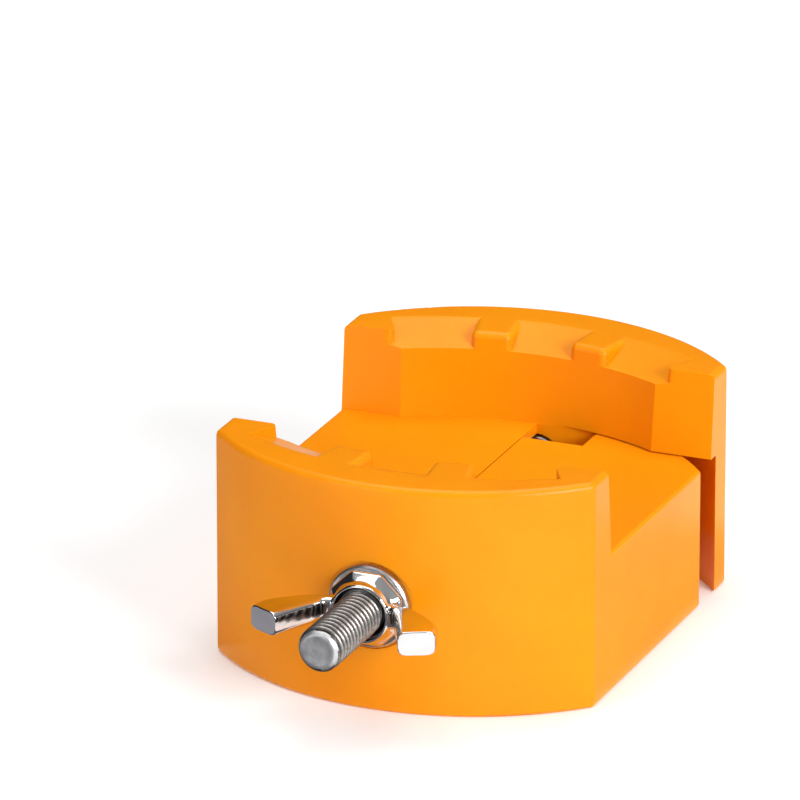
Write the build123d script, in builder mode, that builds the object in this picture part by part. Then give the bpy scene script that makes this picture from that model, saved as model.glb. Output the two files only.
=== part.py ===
"""Watch movement holder: two moulded jaws drawn together by a bolt and a wing nut.

The bolt runs along Y, the jaws are spread along Y, and the holder stands on Z = 0.
The origin is under the middle of the whole object, bolt tip to rear jaw.
The front jaw has the nut, the rear jaw holds the bolt's head.  Both jaws are the same
shape, turned half round: a bowed block with a foot that slides under the other jaw.
"""
import os
from math import radians, sqrt, tan

from build123d import *

# Jaws (millimetres and degrees)
body_width = 52.0          # along X
body_height = 30.5         # floor to jaw top
corner_spread = 47.2       # front corner to rear corner, with a 43 mm case between the jaws
outer_radius = 35.4        # bowed outer face of a jaw
jaw_end = 4.55             # thickness of a jaw at its ends, at the top
seat_radius = 37.5         # hollow inner face of a jaw, at the top
seat_depth = 11.5          # jaw top down to the deck that the watch lies on
deck_thickness = 6.0       # of the foot, over its cells
seat_draft = 5.5           # slope of the jaw's inner face
skirt_wall = 2.5           # outer wall that closes off the other foot's tunnel
core_half_width = 8.0      # solid middle of a jaw, round the bolt
closing_travel = 5.5       # from the modelled opening to foot against jaw
opening_travel = 9.0       # from the modelled opening, with 4.4 mm of bolt still standing out of the hub
slide_gap = 0.2            # between faces that slide past each other

# Notches in the jaw tops, for the crown and for the lugs
notch_reach = 5.8          # how far a notch runs out from the inner face
notch_depth = 2.2          # at the inner face; the floor ramps up to nothing
notch_angles = ((-29.6, 15.1), (-6.3, 12.6), (14.5, 15.1))   # start and width of each
tooth_round = 0.9
top_round = 0.9
corner_round = 0.8
deck_round = 0.5
foot_round = 0.6           # edges that stand on the bench

# Cells under the feet
cell_wall = 2.6
cell_rib = 2.0
cell_pitch = 9.0
cell_corner = 1.0

# Bolt, washer and nut: M6, 1 mm pitch
bolt_diameter = 6.0
bolt_pitch = 1.0
bolt_step = 5.0            # bolts come in lengths of so many millimetres
bolt_reach = 17.0          # about how far the bolt stands out of the front jaw
bolt_cover = 4.7           # from the bolt's axis up to the deck
bolt_point = 0.75          # chamfer at the tip
head_flats = 10.0
head_thickness = 4.0
head_pocket_depth = 7.0    # from the top of the rear jaw's bow
head_play = 0.1            # round the head, on each side
bolt_clearance = 0.6       # jaw's hole over the bolt, on the diameter
washer_diameter = 11.0
washer_thickness = 1.2
washer_clearance = 0.4     # washer's hole over the bolt, on the diameter
washer_edge = 0.2          # chamfer
spot_face_depth = 0.45     # flat for the washer, below the top of the bow
spot_face_clearance = 0.8  # over the washer, on the diameter
thread_clearance = 0.1     # nut's bore over the bolt, on the diameter
nut_wall = 2.15            # round the bore, at the base
nut_taper = 1.2            # how much narrower the hub is at its rim, on the radius
nut_height = 2.8
nut_flange = 0.6           # straight stretch at the base
nut_rim_round = 0.3
nut_mouth = 0.5            # countersink at both ends of the bore
nut_gap = 0.05             # between the nut and the washer
wing_thickness = 3.2
wing_round = 0.7
# The wings' outline: distance beyond the bore's wall, and height above the nut's base
wing_root = (0.25, 0.6)
wing_back = (6.25, 2.9)
wing_outer_tip = (9.7, 8.3)
wing_inner_tip = (5.15, 10.5)
wing_crotch = (0.45, 2.2)

near = 0.01                # for telling edges apart by their place
margin = 1.0               # how far a cut runs past the material

# Places that follow from them
half_width = body_width / 2
bow = outer_radius - sqrt(outer_radius**2 - half_width**2)
jaw_length = corner_spread + 2 * bow
bolt_length = bolt_step * round((jaw_length - head_pocket_depth + bolt_reach) / bolt_step)
overall_length = bolt_length + head_pocket_depth
middle_y = overall_length / 2 - jaw_length / 2
front_apex_y = middle_y - jaw_length / 2
rear_apex_y = middle_y + jaw_length / 2
bolt_seat_y = rear_apex_y - head_pocket_depth
bolt_tip_y = bolt_seat_y - bolt_length
washer_seat_y = front_apex_y + spot_face_depth
nut_base_y = washer_seat_y - washer_thickness - nut_gap
deck_height = body_height - seat_depth
cell_depth = deck_height - deck_thickness
bolt_height = deck_height - bolt_cover
bolt_hole = bolt_diameter + bolt_clearance
washer_hole = bolt_diameter + washer_clearance
spot_face_diameter = washer_diameter + spot_face_clearance
nut_bore = bolt_diameter + thread_clearance
nut_base_radius = nut_bore / 2 + nut_wall
nut_rim_radius = nut_base_radius - nut_taper

# In a jaw's own plan, with y = 0 midway between the jaws and this jaw on the -y side
corner_y = -corner_spread / 2
outer_centre_y = corner_y + outer_radius - bow
seat_centre_y = corner_y + seat_radius
seat_slope = seat_depth * tan(radians(seat_draft))
core_face_y = corner_y + seat_slope + slide_gap / 2
foot_end_radius = outer_radius - skirt_wall
foot_end_centre_y = -outer_centre_y - closing_travel
foot_step_x = core_half_width + slide_gap
foot_step_y = -core_face_y - closing_travel
beyond = jaw_length / 2 + margin   # well outside the object

front_plan = Plane(origin=(0, middle_y, 0), x_dir=(1, 0, 0), z_dir=(0, 0, 1))
rear_plan = Plane(origin=(0, middle_y, 0), x_dir=(-1, 0, 0), z_dir=(0, 0, 1))


def tunnel_y(x):
    """Inside of the skirt wall at x, on this jaw."""
    return outer_centre_y - sqrt(foot_end_radius**2 - x**2)


def foot_end_y(x):
    """Rounded end of this jaw's foot at x, near the other jaw."""
    return foot_end_centre_y + sqrt(foot_end_radius**2 - x**2)


def jaw_block(plan):
    """Bowed jaw and foot in one outline, full height."""
    with BuildSketch(plan) as outline:
        with BuildLine():
            ThreePointArc((-half_width, corner_y), (0, corner_y - bow), (half_width, corner_y))
            Line((half_width, corner_y), (half_width, foot_end_y(half_width)))
            mid_x = (half_width + foot_step_x) / 2
            ThreePointArc((half_width, foot_end_y(half_width)), (mid_x, foot_end_y(mid_x)),
                          (foot_step_x, foot_end_y(foot_step_x)))
            Polyline((foot_step_x, foot_end_y(foot_step_x)), (foot_step_x, foot_step_y),
                     (slide_gap / 2, foot_step_y), (slide_gap / 2, 0), (-half_width, 0),
                     (-half_width, corner_y))
        make_face()
    extrude(outline.sketch, amount=body_height)


def seat_cut(plan):
    """Space for the watch: everything above the deck and inside the jaw's hollow face."""
    end_y = corner_y + jaw_end
    arc_x = sqrt(seat_radius**2 - (seat_centre_y - end_y) ** 2)
    with BuildSketch(plan.offset(body_height)) as outline:
        with BuildLine():
            Polyline((arc_x, end_y), (beyond, end_y), (beyond, beyond), (-beyond, beyond),
                     (-beyond, end_y), (-arc_x, end_y))
            ThreePointArc((-arc_x, end_y), (0, corner_y), (arc_x, end_y))
        make_face()
    extrude(outline.sketch, amount=-seat_depth, taper=seat_draft, mode=Mode.SUBTRACT)


def tunnel_cut(plan):
    """Room for the other jaw's foot, under this jaw and beside its core."""
    out_x = half_width + margin
    mid_x = (out_x + core_half_width) / 2
    with BuildSketch(plan) as outline:
        with BuildLine():
            ThreePointArc((-core_half_width, tunnel_y(core_half_width)), (-mid_x, tunnel_y(mid_x)),
                          (-out_x, tunnel_y(out_x)))
            Polyline((-out_x, tunnel_y(out_x)), (-out_x, beyond), (slide_gap / 2, beyond),
                     (slide_gap / 2, core_face_y), (-core_half_width, core_face_y),
                     (-core_half_width, tunnel_y(core_half_width)))
        make_face()
    extrude(outline.sketch, amount=deck_height + slide_gap, mode=Mode.SUBTRACT)


def notch_cuts(plan):
    """Ramped notches across the jaw top, with sides that point at the seat's centre."""
    pivot = plan.from_local_coords(Vector(0, seat_centre_y, 0))
    inner = seat_radius - seat_slope - margin
    outer = seat_radius + notch_reach
    rise = notch_depth / notch_reach
    for start, width in notch_angles:
        across = Vector(1, 0, 0).rotate(Axis.Z, start - 90)
        side = Plane(origin=pivot, x_dir=plan.from_local_coords(across) - plan.origin,
                     z_dir=plan.from_local_coords(across.cross(Vector(0, 0, 1))) - plan.origin)
        with BuildSketch(side) as ramp:
            with BuildLine():
                Polyline((inner, body_height + margin), (inner, body_height - (outer - inner) * rise),
                         (outer, body_height), (outer, body_height + margin), close=True)
            make_face()
        revolve(ramp.sketch, axis=Axis(pivot, (0, 0, 1)), revolution_arc=width, mode=Mode.SUBTRACT)


def bolt_bore(diameter, from_y, to_y):
    """Round hole along the bolt's axis, between two places on Y."""
    with BuildSketch(Plane(origin=(0, from_y, bolt_height), x_dir=(1, 0, 0), z_dir=(0, 1, 0))) as hole:
        Circle(diameter / 2)
    extrude(hole.sketch, amount=to_y - from_y, mode=Mode.SUBTRACT)


def cell_cuts(plan):
    """Cells moulded into the underside of the foot."""
    first_x = foot_step_x + cell_wall - slide_gap
    last_x = half_width - cell_wall
    columns = int((last_x - first_x + cell_rib) / cell_pitch)
    wide = (last_x - first_x + cell_rib) / columns - cell_rib
    low_y = corner_y + jaw_end
    high_y = foot_end_y(half_width) - cell_wall
    rows = int((high_y - low_y + cell_rib) / cell_pitch)
    long = (high_y - low_y + cell_rib) / rows - cell_rib
    with BuildSketch(plan) as cells:
        with Locations(((first_x + last_x) / 2, (low_y + high_y) / 2)):
            with GridLocations(wide + cell_rib, long + cell_rib, columns, rows):
                RectangleRounded(wide, long, cell_corner)
    extrude(cells.sketch, amount=cell_depth, mode=Mode.SUBTRACT)


def soften_teeth(plan):
    """Round the teeth where they meet the watch."""
    corners = []
    for edge in edges():
        place = plan.to_local_coords(edge.center())
        reach = sqrt(place.X**2 + (place.Y - seat_centre_y) ** 2)
        upright = abs(edge.tangent_at(0.5).Z) > 0.9
        high = body_height - notch_depth < place.Z < body_height
        if upright and high and reach < seat_radius + margin:
            corners.append(edge)
    fillet(corners, tooth_round)


def soften_outside(plan):
    """Round the corners, the outside of the top and bottom, and the edges of the foot's deck."""
    uprights = []
    for edge in edges().filter_by(Axis.Z):
        place = plan.to_local_coords(edge.center())
        if abs(abs(place.X) - half_width) < near and abs(place.Y - corner_y) < near:
            uprights.append(edge)
        if abs(place.X - half_width) < near and place.Y > 0:
            uprights.append(edge)
    fillet(uprights, corner_round)
    rims = []
    stands = []
    decks = []
    for edge in edges():
        place = plan.to_local_coords(edge.center())
        outside = place.Y < corner_y + corner_round or abs(abs(place.X) - half_width) < near
        if abs(edge.tangent_at(0.5).Z) > near:
            continue
        if abs(place.Z - body_height) < near and outside:
            rims.append(edge)
        on_bench = abs(place.Z) < near
        if on_bench and (place.X > foot_step_x + near or place.Y < corner_y - bow / 2):
            stands.append(edge)
        on_foot = place.X > foot_step_x - near and place.Y > corner_y + jaw_end + seat_slope
        if abs(place.Z - deck_height) < near and on_foot:
            decks.append(edge)
    fillet(rims, top_round)
    fillet(stands, foot_round)
    fillet(decks, deck_round)


def jaw(plan):
    """Everything that the two jaws share, in the open part."""
    jaw_block(plan)
    seat_cut(plan)
    notch_cuts(plan)
    tunnel_cut(plan)
    soften_teeth(plan)
    soften_outside(plan)
    bolt_bore(bolt_hole, bolt_tip_y, rear_apex_y + margin)
    cell_cuts(plan)


with BuildPart() as front_jaw:
    jaw(front_plan)
    bolt_bore(spot_face_diameter, bolt_tip_y, washer_seat_y)
front_jaw.part.label = "front_jaw"

with BuildPart() as rear_jaw:
    jaw(rear_plan)
    with BuildSketch(Plane(origin=(0, bolt_seat_y, bolt_height), x_dir=(1, 0, 0), z_dir=(0, 1, 0))):
        RegularPolygon(head_flats / 2 + head_play, 6, major_radius=False, rotation=30)
    extrude(amount=head_pocket_depth + margin, mode=Mode.SUBTRACT)
rear_jaw.part.label = "rear_jaw"

with BuildPart() as clamp_bolt:
    with BuildSketch(Plane(origin=(0, bolt_seat_y, bolt_height), x_dir=(1, 0, 0), z_dir=(0, 1, 0))):
        RegularPolygon(head_flats / 2, 6, major_radius=False, rotation=30)
    extrude(amount=head_thickness)
    with BuildSketch(Plane(origin=(0, bolt_tip_y, bolt_height), x_dir=(1, 0, 0), z_dir=(0, 1, 0))):
        Circle(bolt_diameter / 2)
    extrude(amount=bolt_length)
    tip = clamp_bolt.faces().sort_by(Axis.Y)[0]
    chamfer(tip.edges(), bolt_point)
clamp_bolt.part.label = "clamp_bolt"

with BuildPart() as washer:
    with BuildSketch(Plane(origin=(0, washer_seat_y, bolt_height), x_dir=(1, 0, 0), z_dir=(0, -1, 0))):
        Circle(washer_diameter / 2)
        Circle(washer_hole / 2, mode=Mode.SUBTRACT)
    extrude(amount=washer_thickness)
    chamfer(washer.faces().sort_by(Axis.Y)[0].outer_wire().edges(), washer_edge)
washer.part.label = "washer"

with BuildPart() as wing_nut:
    # Wings: flat plates that spread outward and forward
    wing_corners = (wing_root, wing_back, wing_outer_tip, wing_inner_tip, wing_crotch)
    for side in (-1, 1):
        wing_plan = Plane(origin=(0, nut_base_y, bolt_height - wing_thickness / 2), x_dir=(side, 0, 0),
                          z_dir=(0, 0, 1))
        root, back, outer, inner, crotch = [
            (nut_bore / 2 + out, -side * up) for out, up in wing_corners
        ]
        with BuildSketch(wing_plan):
            with BuildLine():
                ThreePointArc(root, back, outer)
                Polyline(outer, inner, crotch, root)
            make_face()
        extrude(amount=wing_thickness)
    fillet(wing_nut.edges(), wing_round)
    # Hub: a cone that widens to the base
    with BuildSketch(Plane(origin=(0, nut_base_y, bolt_height), x_dir=(1, 0, 0), z_dir=(0, 0, 1))):
        with BuildLine():
            Polyline((0, 0), (nut_base_radius, 0), (nut_base_radius, -nut_flange),
                     (nut_rim_radius, -nut_height + nut_rim_round),
                     (nut_rim_radius - nut_rim_round, -nut_height), (0, -nut_height), close=True)
        make_face()
    revolve(axis=Axis((0, nut_base_y, bolt_height), (0, 1, 0)))
    bolt_bore(nut_bore, nut_base_y - nut_height - margin, nut_base_y + margin)
    rings = wing_nut.edges().filter_by(GeomType.CIRCLE)
    chamfer(rings.filter_by(lambda ring: abs(ring.radius - nut_bore / 2) < near), nut_mouth)
wing_nut.part.label = "wing_nut"

os.makedirs("parts", exist_ok=True)
for piece in (front_jaw, rear_jaw, clamp_bolt, washer, wing_nut):
    export_step(piece.part, "parts/" + piece.part.label + ".step")
    box = piece.part.bounding_box()
    print(piece.part.label, [round(v, 2) for v in (*box.min, *box.max)], round(piece.part.volume, 1))
print("nut turns, closing and opening:", closing_travel / bolt_pitch, opening_travel / bolt_pitch)
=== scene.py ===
"""Looks of the watch movement holder: materials, finer metal pieces, light and camera."""
from math import ceil, cos, floor, pi, radians, sin

import bmesh
import bpy
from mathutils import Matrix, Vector


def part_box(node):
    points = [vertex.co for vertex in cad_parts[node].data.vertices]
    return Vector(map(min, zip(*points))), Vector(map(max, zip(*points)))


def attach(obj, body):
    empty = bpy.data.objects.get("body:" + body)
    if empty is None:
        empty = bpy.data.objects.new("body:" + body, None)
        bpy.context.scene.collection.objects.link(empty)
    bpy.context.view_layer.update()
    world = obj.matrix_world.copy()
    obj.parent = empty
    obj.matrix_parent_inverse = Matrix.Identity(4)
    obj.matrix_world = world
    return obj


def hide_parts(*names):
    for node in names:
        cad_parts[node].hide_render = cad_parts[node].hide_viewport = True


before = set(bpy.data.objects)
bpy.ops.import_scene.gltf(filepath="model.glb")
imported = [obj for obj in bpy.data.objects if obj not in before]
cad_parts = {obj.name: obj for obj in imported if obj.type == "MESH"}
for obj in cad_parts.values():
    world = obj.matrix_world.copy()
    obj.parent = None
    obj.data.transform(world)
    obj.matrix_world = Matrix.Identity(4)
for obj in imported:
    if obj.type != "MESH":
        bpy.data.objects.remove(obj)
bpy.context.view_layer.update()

MM = 0.001

# Places taken from the frame, in metres
bolt_low, bolt_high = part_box("clamp_bolt")
nut_low, nut_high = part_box("wing_nut")
axis_height = (bolt_low[2] + bolt_high[2]) / 2


# Node helpers; owner is a material or the world

def new_material(name):
    material = bpy.data.materials.new(name)
    material.use_nodes = True
    nodes = material.node_tree.nodes
    nodes.clear()
    output = nodes.new("ShaderNodeOutputMaterial")
    shader = nodes.new("ShaderNodeBsdfPrincipled")
    link(material, shader.outputs["BSDF"], output.inputs["Surface"])
    return material, shader


def link(owner, source, target):
    owner.node_tree.links.new(source, target)


def object_coordinates(owner):
    return owner.node_tree.nodes.new("ShaderNodeTexCoord").outputs["Object"]


def noise(owner, coordinates, scale, detail=3.0, rough=0.5):
    """Noise over the coordinates; scale is in features per metre."""
    node = owner.node_tree.nodes.new("ShaderNodeTexNoise")
    node.inputs["Scale"].default_value = scale
    node.inputs["Detail"].default_value = detail
    node.inputs["Roughness"].default_value = rough
    link(owner, coordinates, node.inputs["Vector"])
    return node.outputs["Fac"]


def stretched(owner, coordinates, scale):
    """Coordinates scaled differently along each axis, for drawn or turned marks."""
    node = owner.node_tree.nodes.new("ShaderNodeMapping")
    node.inputs["Scale"].default_value = scale
    link(owner, coordinates, node.inputs["Vector"])
    return node.outputs["Vector"]


def ramp(owner, factor, stops):
    """Colour ramp through (position, (r, g, b)) stops."""
    node = owner.node_tree.nodes.new("ShaderNodeValToRGB")
    points = node.color_ramp.elements
    for index, (place, colour) in enumerate(stops):
        point = points[index] if index < 2 else points.new(place)
        point.position = place
        point.color = (*colour, 1.0)
    link(owner, factor, node.inputs["Fac"])
    return node.outputs["Color"]


def spread(owner, factor, low, high, from_low=0.0, from_high=1.0):
    """Maps from_low..from_high onto low..high."""
    node = owner.node_tree.nodes.new("ShaderNodeMapRange")
    node.inputs["From Min"].default_value = from_low
    node.inputs["From Max"].default_value = from_high
    node.inputs["To Min"].default_value = low
    node.inputs["To Max"].default_value = high
    link(owner, factor, node.inputs["Value"])
    return node.outputs["Result"]


def blend_colour(owner, factor, first, second):
    """First colour where the factor is 0, second where it is 1."""
    node = owner.node_tree.nodes.new("ShaderNodeMix")
    node.data_type = "RGBA"
    link(owner, factor, node.inputs["Factor"])
    colours = [socket for socket in node.inputs if socket.type == "RGBA"]
    for socket, colour in zip(colours, (first, second)):
        link(owner, colour, socket)
    return [socket for socket in node.outputs if socket.type == "RGBA"][0]


def bump(owner, height, strength, distance, before=None):
    """Normal bent by a height; before is the normal that it starts from."""
    node = owner.node_tree.nodes.new("ShaderNodeBump")
    node.inputs["Strength"].default_value = strength
    node.inputs["Distance"].default_value = distance
    link(owner, height, node.inputs["Height"])
    if before is not None:
        link(owner, before, node.inputs["Normal"])
    return node.outputs["Normal"]


def calculate(owner, operation, first, second=None):
    """One step of arithmetic on sockets or numbers."""
    node = owner.node_tree.nodes.new("ShaderNodeMath")
    node.operation = operation
    for socket, value in zip(node.inputs, (first, second)):
        if value is None:
            continue
        if isinstance(value, (int, float)):
            socket.default_value = value
        else:
            link(owner, value, socket)
    return node.outputs["Value"]


def distance_from_bolt(owner, place):
    """Radius from the bolt's axis, in metres."""
    split = owner.node_tree.nodes.new("ShaderNodeSeparateXYZ")
    link(owner, place, split.inputs[0])
    up = calculate(owner, "SUBTRACT", split.outputs["Z"], axis_height)
    across_square = calculate(owner, "POWER", split.outputs["X"], 2.0)
    up_square = calculate(owner, "POWER", up, 2.0)
    return calculate(owner, "SQRT", calculate(owner, "ADD", across_square, up_square))


# Materials

def orange_plastic():
    """Moulded jaw plastic: deep orange, a little translucent, with faint mould texture."""
    material, shader = new_material("orange_plastic")
    place = object_coordinates(material)
    deep, light = (0.87, 0.268, 0.001), (0.93, 0.305, 0.0015)
    cloud = noise(material, place, scale=45.0)
    link(material, ramp(material, cloud, [(0.3, deep), (0.7, light)]), shader.inputs["Base Color"])
    smear = noise(material, place, scale=220.0, detail=4.0)
    link(material, spread(material, smear, low=0.27, high=0.40), shader.inputs["Roughness"])
    wave = noise(material, place, scale=120.0, detail=1.0)
    soft = bump(material, wave, strength=0.2, distance=0.0002)
    grain = noise(material, place, scale=4200.0, detail=2.0)
    textured = bump(material, grain, strength=0.10, distance=0.00003, before=soft)
    link(material, textured, shader.inputs["Normal"])
    shader.inputs["Subsurface Weight"].default_value = 0.25
    shader.inputs["Subsurface Radius"].default_value = (1.0, 0.30, 0.02)
    shader.inputs["Subsurface Scale"].default_value = 0.003
    shader.inputs["IOR"].default_value = 1.45
    shader.inputs["Specular IOR Level"].default_value = 0.24
    return material


def bright_plating():
    """Bright plating over a die casting, with a slight ripple and haze."""
    material, shader = new_material("bright_plating")
    place = object_coordinates(material)
    dark, light = (0.66, 0.66, 0.665), (0.80, 0.80, 0.80)
    cloud = noise(material, place, scale=160.0)
    link(material, ramp(material, cloud, [(0.3, dark), (0.7, light)]), shader.inputs["Base Color"])
    haze = noise(material, place, scale=700.0, detail=5.0)
    link(material, spread(material, haze, low=0.05, high=0.16), shader.inputs["Roughness"])
    ripple = noise(material, place, scale=380.0, detail=1.5)
    link(material, bump(material, ripple, strength=0.35, distance=0.00012), shader.inputs["Normal"])
    shader.inputs["Metallic"].default_value = 1.0
    return material


def zinc_plating():
    """Dull grey plating with fine punching marks, for the washer."""
    material, shader = new_material("zinc_plating")
    place = object_coordinates(material)
    dark, light = (0.45, 0.45, 0.46), (0.66, 0.66, 0.66)
    speck = noise(material, place, scale=900.0, detail=5.0)
    link(material, ramp(material, speck, [(0.35, dark), (0.65, light)]), shader.inputs["Base Color"])
    haze = noise(material, place, scale=1500.0, detail=4.0)
    link(material, spread(material, haze, low=0.22, high=0.42), shader.inputs["Roughness"])
    marks = noise(material, stretched(material, place, (700.0, 4000.0, 700.0)), scale=1.0)
    link(material, bump(material, marks, strength=0.25, distance=0.00003), shader.inputs["Normal"])
    shader.inputs["Metallic"].default_value = 1.0
    return material


def thread_steel():
    """Rolled steel, worn bright on the crests, with painted shade that darkens the roots of the
    thread almost to black.
    """
    material, shader = new_material("thread_steel")
    place = object_coordinates(material)
    # Painted shade: the colour runs from near black in the thread's roots out to the worn crests
    shaded_root_radius, worn_radius = 2.6 * MM, 2.95 * MM
    crest = spread(material, distance_from_bolt(material, place), 0.0, 1.0, shaded_root_radius, worn_radius)
    speck = noise(material, place, scale=2400.0, detail=4.0, rough=0.6)
    worn = ramp(material, speck, [(0.3, (0.30, 0.285, 0.27)), (0.7, (0.56, 0.545, 0.525))])
    root_painted_shade = ramp(material, speck, [(0.3, (0.035, 0.031, 0.028)), (0.7, (0.10, 0.09, 0.08))])
    link(material, blend_colour(material, crest, root_painted_shade, worn), shader.inputs["Base Color"])
    link(material, spread(material, speck, low=0.50, high=0.28), shader.inputs["Roughness"])
    grain = noise(material, place, scale=2600.0)
    link(material, bump(material, grain, strength=0.4, distance=0.00005), shader.inputs["Normal"])
    shader.inputs["Metallic"].default_value = 1.0
    return material


def cropped_steel():
    """Matt grey end of the bolt and its head, with faint marks of the cold forging."""
    material, shader = new_material("cropped_steel")
    place = object_coordinates(material)
    dark, light = (0.50, 0.505, 0.51), (0.72, 0.725, 0.73)
    speck = noise(material, place, scale=850.0, detail=6.0, rough=0.55)
    link(material, ramp(material, speck, [(0.3, dark), (0.7, light)]), shader.inputs["Base Color"])
    link(material, spread(material, speck, low=0.36, high=0.55), shader.inputs["Roughness"])
    ring_density = 14000.0      # radians of the rings' wave for each metre of radius
    wave = calculate(material, "MULTIPLY", distance_from_bolt(material, place), ring_density)
    turned = bump(material, calculate(material, "SINE", wave), strength=0.15, distance=0.00002)
    grain = noise(material, place, scale=1100.0, detail=5.0)
    forged = bump(material, grain, strength=0.4, distance=0.00006, before=turned)
    link(material, forged, shader.inputs["Normal"])
    shader.inputs["Metallic"].default_value = 0.9
    return material


plastic = orange_plastic()
plating = bright_plating()
zinc = zinc_plating()
steel = thread_steel()
end_steel = cropped_steel()


def dress(node, material):
    """Gives a CAD node its material."""
    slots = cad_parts[node].data.materials
    slots.clear()
    slots.append(material)


dress("front_jaw", plastic)
dress("rear_jaw", plastic)
dress("washer", zinc)
dress("wing_nut", plating)
dress("clamp_bolt", steel)


# Mesh helpers; lengths that they are given are in millimetres

def new_object(name, builder, materials):
    """Object from a mesh builder."""
    mesh = bpy.data.meshes.new(name)
    builder.to_mesh(mesh)
    builder.free()
    for material in materials:
        mesh.materials.append(material)
    piece = bpy.data.objects.new(name, mesh)
    bpy.context.collection.objects.link(piece)
    return piece


def solid_from(builder, name):
    """Object from a builder, its normals outward, for use in modifiers."""
    bmesh.ops.recalc_face_normals(builder, faces=builder.faces)
    return new_object(name, builder, [])


def turned_rows(builder, rows, count, material_index=0):
    """Surface round the bolt's axis through rows of (radius, y).

    A row can be a function that gives them at an angle. A radius of zero closes the surface.
    """
    rings = []
    for row in rows:
        if not callable(row) and row[0] == 0.0:
            rings.append([builder.verts.new((0.0, row[1] * MM, axis_height))])
            continue
        ring = []
        for step in range(count):
            angle = 2 * pi * step / count
            radius, y = row(angle) if callable(row) else row
            ring.append(builder.verts.new((radius * MM * cos(angle), y * MM,
                                           axis_height + radius * MM * sin(angle))))
        rings.append(ring)
    for first, second in zip(rings, rings[1:]):
        for step in range(count):
            after = (step + 1) % count
            if len(first) == 1:
                corners = (first[0], second[after], second[step])
            elif len(second) == 1:
                corners = (first[step], first[after], second[0])
            else:
                corners = (first[step], first[after], second[after], second[step])
            face = builder.faces.new(corners)
            face.material_index = material_index
            face.smooth = True
    return rings


def smooth_curve(points, steps):
    """Catmull-Rom curve through points, ends included."""
    padded = [points[0], *points, points[-1]]
    curve = []
    for index in range(1, len(padded) - 2):
        a, b, c, d = (Vector(point) for point in padded[index - 1:index + 3])
        for step in range(steps):
            t = step / steps
            curve.append(0.5 * ((2 * b) + (c - a) * t + (2 * a - 5 * b + 4 * c - d) * t * t
                                + (3 * b - a - 3 * c + d) * t ** 3))
    curve.append(Vector(points[-1]))
    return curve


def rounded_plate(builder, outline, middle_z, thickness, edge_round):
    """Flat plate over a closed outline of (place, inward) pairs, its long edges rounded.

    inward is the way that a point moves as the outline shrinks, or None for square to the edge.
    middle_z is in metres.
    """
    round_steps = 5
    count = len(outline)
    inward = []
    for index, (place, way) in enumerate(outline):
        along = (outline[(index + 1) % count][0] - outline[index - 1][0]).normalized()
        inward.append(Vector((-along.y, along.x)) if way is None else way)
    levels = []
    for step in range(round_steps + 1):
        angle = pi / 2 * step / round_steps
        levels.append((edge_round * (1 - sin(angle)), edge_round * (1 - cos(angle)) - thickness / 2))
    levels += [(inset, -z) for inset, z in reversed(levels)]
    rings = []
    for inset, z in levels:
        ring = []
        for (place, _), way in zip(outline, inward):
            x, y = place.x + way.x * inset, place.y + way.y * inset
            ring.append(builder.verts.new((x * MM, y * MM, middle_z + z * MM)))
        rings.append(ring)
    for first, second in zip(rings, rings[1:]):
        for step in range(count):
            after = (step + 1) % count
            builder.faces.new((first[step], first[after], second[after], second[step]))
    builder.faces.new(list(reversed(rings[0])))
    builder.faces.new(rings[-1])


def apply_modifiers(piece):
    """Replaces the piece's mesh by its modified form."""
    graph = bpy.context.evaluated_depsgraph_get()
    mesh = bpy.data.meshes.new_from_object(piece.evaluated_get(graph))
    old = piece.data
    piece.modifiers.clear()
    piece.data = mesh
    bpy.data.meshes.remove(old)


def combine(piece, operation, tool):
    """Joins the tool to the piece or cuts it out, and removes the tool."""
    change = piece.modifiers.new("combine", "BOOLEAN")
    change.operation = operation
    change.solver = "EXACT"
    change.object = tool
    apply_modifiers(piece)
    mesh = tool.data
    bpy.data.objects.remove(tool)
    bpy.data.meshes.remove(mesh)


def soften_edges(piece, grain, passes):
    """Remeshes the piece evenly, then smooths it, which leaves a cast blend at every edge."""
    even = piece.modifiers.new("even", "REMESH")
    even.mode = "VOXEL"
    even.voxel_size = grain * MM
    even.use_smooth_shade = True
    soften = piece.modifiers.new("soften", "SMOOTH")
    soften.factor = 0.5
    soften.iterations = passes
    apply_modifiers(piece)


def keep_inside(piece, low, high):
    """Holds every point of the piece inside a box, given in metres."""
    for point in piece.data.vertices:
        for axis in range(3):
            point.co[axis] = min(max(point.co[axis], low[axis]), high[axis])


# Bolt with its rolled thread and hexagon head

thread_pitch = 1.0
thread_crest = 2.97         # radius, a little inside the 3 mm of the CAD bolt
thread_root = 2.42
tip_chamfer = 0.75
tip_radius = 3.0 - tip_chamfer
head_height = 4.0
head_half_flats = 5.0
END_SLOT = 1                # material slot; the thread's faces keep slot 0


def thread_radius(phase):
    """Radius at a place in one pitch, 0 at the middle of the root."""
    flank_start, flank_end, curved_share = 0.16, 0.84, 0.35
    away = abs(phase - floor(phase + 0.5)) * 2      # 0 at the root, 1 at the crest
    flank = min(max((away - flank_start) / (flank_end - flank_start), 0.0), 1.0)
    curved = flank * flank * (3 - 2 * flank)
    eased = curved * curved_share + flank * (1 - curved_share)
    return thread_root + (thread_crest - thread_root) * eased


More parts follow.
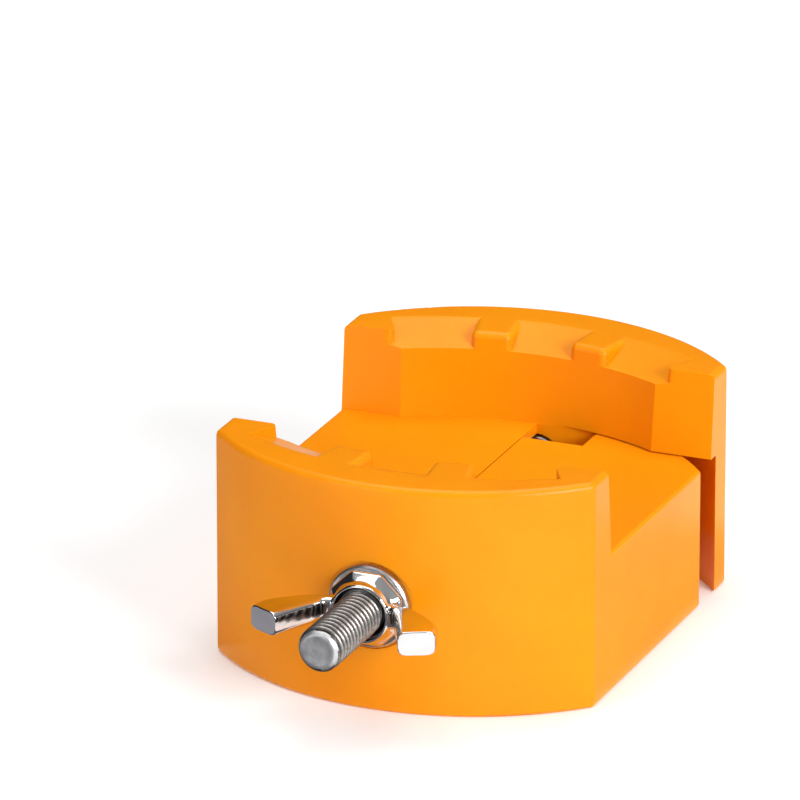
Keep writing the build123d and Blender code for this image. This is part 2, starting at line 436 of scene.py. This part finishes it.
def bolt_piece():
    """Helical thread cut square at both ends, with a chamfered tip and the head."""
    around, across = 48, 8          # steps round one turn, and along one pitch
    lead_in = 2.0                   # thread beyond the tip, cut off below
    into_head = 0.3
    tip, top = bolt_low[1] / MM, bolt_high[1] / MM
    seat = top - head_height
    start, end = tip - lead_in, seat + into_head
    turns = ceil((end - start) / thread_pitch) + 1
    builder = bmesh.new()
    # Each strip's far edge is the near edge one turn on
    made = {}

    def vertex(step, part):
        if part == across:
            step, part = step + around, 0
        key = (step, part)
        if key not in made:
            y = start + thread_pitch * step / around + thread_pitch * part / across
            angle = 2 * pi * step / around
            radius = min(thread_radius(part / across), tip_radius + max(y - tip, -0.4))
            made[key] = builder.verts.new((radius * MM * cos(angle), y * MM,
                                           axis_height - radius * MM * sin(angle)))
        return made[key]

    for step in range(turns * around):
        for part in range(across):
            face = builder.faces.new((vertex(step, part), vertex(step + 1, part),
                                      vertex(step + 1, part + 1), vertex(step, part + 1)))
            face.smooth = True
    for y, outward in ((tip, -1), (end, 1)):
        bmesh.ops.bisect_plane(builder, geom=builder.verts[:] + builder.edges[:] + builder.faces[:],
                               plane_co=(0.0, y * MM, 0.0), plane_no=(0.0, outward, 0.0),
                               clear_outer=True, dist=1e-7)
    # End of the bolt: a flat rim, then a shallow dish
    rims = [edge for edge in builder.edges if edge.is_boundary]
    end_rim = [edge for edge in rims if edge.verts[0].co.y < 0]
    far_rim = [edge for edge in rims if edge.verts[0].co.y > 0]
    ends = bmesh.ops.holes_fill(builder, edges=end_rim, sides=0)["faces"]
    bmesh.ops.holes_fill(builder, edges=far_rim, sides=0)
    for inset, depth in ((0.35, 0.0), (0.5, 0.09), (0.6, 0.06)):
        bmesh.ops.inset_region(builder, faces=ends, thickness=inset * MM, depth=-depth * MM,
                               use_even_offset=True)
    end_length = tip_chamfer * 0.55     # stretch at the tip that has the end's material
    for face in builder.faces:
        if face.calc_center_median().y < (tip + end_length) * MM:
            face.material_index = END_SLOT
    bmesh.ops.recalc_face_normals(builder, faces=builder.faces)
    hexagon_head(builder, seat, top)
    return new_object("bolt_with_thread", builder, (steel, end_steel))


def hexagon_head(builder, seat, top):
    """Head with the usual chamfer round its outer face and a shallow dish in it."""
    count = 96
    inside_cad = 0.01
    under_edge = 0.12                       # small chamfer at the seat
    face_radius, face_slope = 4.72, 0.577   # where the outer chamfer starts, and its slope

    def corner(angle):
        """Radius of the hexagon, corners along Z and flats along X."""
        within = (angle + pi / 6) % (pi / 3) - pi / 6
        return (head_half_flats - inside_cad) / cos(within)

    rows = [
        lambda angle: (corner(angle) - under_edge, seat),
        lambda angle: (corner(angle), seat + under_edge),
        lambda angle: (corner(angle), top - (corner(angle) - face_radius) * face_slope),
        (face_radius, top),
        (4.1, top),
        (3.7, top - 0.22),
        (2.0, top - 0.3),
        (0.0, top - 0.3),
    ]
    rings = turned_rows(builder, rows, count, END_SLOT)
    centre = builder.verts.new((0.0, seat * MM, axis_height))
    for step in range(count):
        face = builder.faces.new((centre, rings[0][(step + 1) % count], rings[0][step]))
        face.material_index = END_SLOT
    for ring in rings[:4]:
        for point in ring:
            for edge in point.link_edges:
                if edge.calc_face_angle(0.0) > radians(18):
                    edge.smooth = False


# Wing nut: a die casting with soft blends between the hub and the wings

hub_height = 2.8
nut_bore = 3.05             # radius
nut_mouth = 3.62            # radius of the countersinks at the hub's two faces
wing_thickness = 3.2
wing_edge_round = 0.95


def hub_solid(base, rim):
    """Hub from its flange at the base, down a slope, to the rim."""
    skin = 0.02             # hub's faces stand this far inside the CAD nut
    flange_flatness, rim_flatness = 0.95, 0.20      # 0 is round, 1 is eight flats
    fade_start, fade_length = 1.1, 0.9              # from the base towards the rim
    flat_share, corner_share = 0.965, 1.03          # of the round radius

    def faceted(radius, y):
        """Row with eight flats, plain to see at the flange and faint at the rim."""
        fade = min(max((base - fade_start - y) / fade_length, 0.0), 1.0)
        flatness = flange_flatness + (rim_flatness - flange_flatness) * fade

        def row(angle):
            within = (angle + pi / 8) % (pi / 4) - pi / 8
            flat = min(radius * flat_share / cos(within), radius * corner_share)
            return radius + (flat - radius) * flatness, y

        return row

    profile = [(5.0, base - skin), (5.08, base - 0.3), (5.02, base - 0.6), (4.6, base - 1.1),
               (4.22, base - 1.6), (4.04, base - 1.95), (3.98, rim + 0.3), (3.85, rim + 0.06),
               (3.7, rim + skin)]
    builder = bmesh.new()
    rows = [faceted(radius, y) for radius, y in profile]
    turned_rows(builder, [(0.0, base - skin), *rows, (0.0, rim + skin)], count=96)
    return solid_from(builder, "nut_core")


def wings_solid(base):
    """Both wings, each a rounded plate with a flat facet at its end."""
    reach_x, reach_y = nut_high[0] / MM, nut_low[1] / MM
    back = smooth_curve([(2.0, base - 0.3), (3.6, base - 0.5), (6.6, base - 1.35), (9.5, base - 3.2),
                         (reach_x - 0.75, base - 5.6), (reach_x - 0.02, base - 8.1)], steps=7)
    front = smooth_curve([(8.3, reach_y + 0.03), (6.8, base - 7.1), (5.5, base - 4.6),
                          (4.5, base - 2.9), (2.0, base - 2.5)], steps=6)
    # The facet's two corners shrink along the facet, which keeps its end square
    facet = (front[0] - back[-1]).normalized()
    right_wing = [(point, None) for point in back[:-1]]
    right_wing += [(back[-1], facet), (front[0], -facet)]
    right_wing += [(point, None) for point in front[1:]]
    builder = bmesh.new()
    for side in (1, -1):
        outline = [(Vector((place.x * side, place.y)), way and Vector((way.x * side, way.y)))
                   for place, way in right_wing]
        if side > 0:
            outline.reverse()
        rounded_plate(builder, outline, axis_height, wing_thickness, wing_edge_round)
    return solid_from(builder, "nut_wings")


def bore_solid(base, rim):
    """Drill for the bore, with a countersink at each end that runs on past the hub."""
    past, sink = 1.0, nut_mouth - nut_bore
    wide = nut_mouth + past
    builder = bmesh.new()
    turned_rows(builder, [(0.0, base + past), (wide, base + past), (nut_bore, base - sink),
                          (nut_bore, rim + sink), (wide, rim - past), (0.0, rim - past)], count=72)
    return solid_from(builder, "nut_drill")


def wing_nut_piece():
    base = nut_high[1] / MM
    rim = base - hub_height
    casting = hub_solid(base, rim)
    combine(casting, "UNION", wings_solid(base))
    soften_edges(casting, grain=0.1, passes=16)
    combine(casting, "DIFFERENCE", bore_solid(base, rim))
    casting.name = "wing_nut_casting"
    casting.data.materials.clear()
    casting.data.materials.append(plating)
    keep_inside(casting, nut_low, nut_high)
    casting.data.shade_smooth()
    casting.data.set_sharp_from_angle(angle=radians(38))
    return casting


nut = wing_nut_piece()
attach(nut, "nut")
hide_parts("wing_nut")

bolt = bolt_piece()
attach(bolt, "rear")
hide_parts("clamp_bolt")


# Stage, light and camera, in metres

def flat_object(name, corners, material):
    """One face through the corners."""
    mesh = bpy.data.meshes.new(name)
    mesh.from_pydata(corners, [], [tuple(range(len(corners)))])
    mesh.materials.append(material)
    sheet = bpy.data.objects.new(name, mesh)
    bpy.context.collection.objects.link(sheet)
    return sheet


def plain_stage():
    """White floor, lit up a little so that it stays white, just under the holder."""
    material, shader = new_material("pale_floor")
    shader.inputs["Base Color"].default_value = (0.93, 0.93, 0.93, 1.0)
    shader.inputs["Roughness"].default_value = 0.8
    shader.inputs["Specular IOR Level"].default_value = 0.1
    shader.inputs["Emission Color"].default_value = (1.0, 1.0, 1.0, 1.0)
    shader.inputs["Emission Strength"].default_value = 0.14
    side, low = 3.0, -0.00002
    corners = [(-side, -side, low), (side, -side, low), (side, side, low), (-side, side, low)]
    floor_plane = flat_object("floor", corners, material)


def dark_card(name, grey, corners):
    """Card that only reflections see, to give bright metal something dark to mirror."""
    material, shader = new_material(name)
    shader.inputs["Base Color"].default_value = (grey, grey, grey * 1.1, 1.0)
    shader.inputs["Roughness"].default_value = 1.0
    shader.inputs["Specular IOR Level"].default_value = 0.0
    card = flat_object(name, corners, material)
    card.visible_camera = False
    card.visible_diffuse = False
    card.visible_shadow = False
    card.visible_transmission = False


def floor_card(name, grey, along_x, along_y):
    """Card lying just over the floor, between two places on X and two on Y."""
    low = 0.0004
    dark_card(name, grey, [(along_x[0], along_y[0], low), (along_x[1], along_y[0], low),
                           (along_x[1], along_y[1], low), (along_x[0], along_y[1], low)])


def upright_card(name, grey, start, end, height):
    """Card standing over the line between two places on the floor."""
    low = 0.001
    dark_card(name, grey, [(*start, low), (*end, low), (*end, height), (*start, height)])


def area_light(name, place, target, side, power):
    """Square light that faces the target."""
    light = bpy.data.lights.new(name, "AREA")
    light.shape = "RECTANGLE"
    light.size = light.size_y = side
    light.energy = power
    lamp = bpy.data.objects.new(name, light)
    bpy.context.collection.objects.link(lamp)
    lamp.location = place
    lamp.rotation_euler = (Vector(target) - Vector(place)).to_track_quat("-Z", "Y").to_euler()


def world_light():
    """Soft room: bright overhead, dim round the horizon."""
    world = bpy.data.worlds.new("studio")
    bpy.context.scene.world = world
    world.use_nodes = True
    background = world.node_tree.nodes["Background"]
    place = world.node_tree.nodes.new("ShaderNodeTexCoord").outputs["Generated"]
    split = world.node_tree.nodes.new("ShaderNodeSeparateXYZ")
    link(world, place, split.inputs[0])
    below, horizon, overhead = (0.16, 0.16, 0.17), (0.35, 0.35, 0.36), (1.0, 1.0, 1.0)
    shade = ramp(world, split.outputs["Z"], [(0.0, below), (0.35, horizon), (0.75, overhead)])
    link(world, shade, background.inputs["Color"])
    background.inputs["Strength"].default_value = 0.38


def camera(azimuth, elevation, distance, lens, target, aim_right, aim_up):
    """Looks along +Y at azimuth 0; aim_right and aim_up move the view off the target."""
    az, el = radians(azimuth), radians(elevation)
    forward = Vector((-sin(az) * cos(el), cos(az) * cos(el), -sin(el)))
    right = Vector((cos(az), sin(az), 0.0))
    up = right.cross(forward)
    data = bpy.data.cameras.new("camera")
    data.lens = lens
    data.sensor_width = 36.0
    data.clip_end = 10.0
    eye = bpy.data.objects.new("camera", data)
    bpy.context.collection.objects.link(eye)
    eye.location = target - forward * distance
    aim = target + right * aim_right + up * aim_up
    eye.rotation_euler = (aim - eye.location).to_track_quat("-Z", "Y").to_euler()
    bpy.context.scene.camera = eye


plain_stage()
world_light()
card_edge = 0.0268          # just clear of the jaws' sides
upright_card("card_left", 0.02, start=(-0.30, -0.55), end=(-0.12, 0.45), height=0.35)
floor_card("floor_card_left", 0.3, along_x=(-0.30, -card_edge), along_y=(-0.40, 0.05))
floor_card("floor_card_front", 0.12, along_x=(-card_edge, 0.008), along_y=(-0.40, -0.0278))
floor_card("floor_card_right", 0.3, along_x=(card_edge, 0.30), along_y=(-0.04, 0.05))
upright_card("card_front", 0.02, start=(-0.16, -0.5), end=(0.10, -0.62), height=0.22)
centre = Vector((0.0, 0.0085, 0.01525))     # of the two jaws
area_light("key", (0.66, -0.36, 0.34), centre, side=0.3, power=5.6)
area_light("top", (-0.05, 0.1, 0.8), centre, side=0.7, power=4.1)
area_light("fill", (-0.35, -0.7, 0.25), centre, side=0.3, power=1.2)
camera(azimuth=21.9, elevation=20.94, distance=1.238, lens=430.7, target=centre,
       aim_right=-0.00954, aim_up=0.01377)
bpy.context.scene.view_settings.view_transform = "Standard"
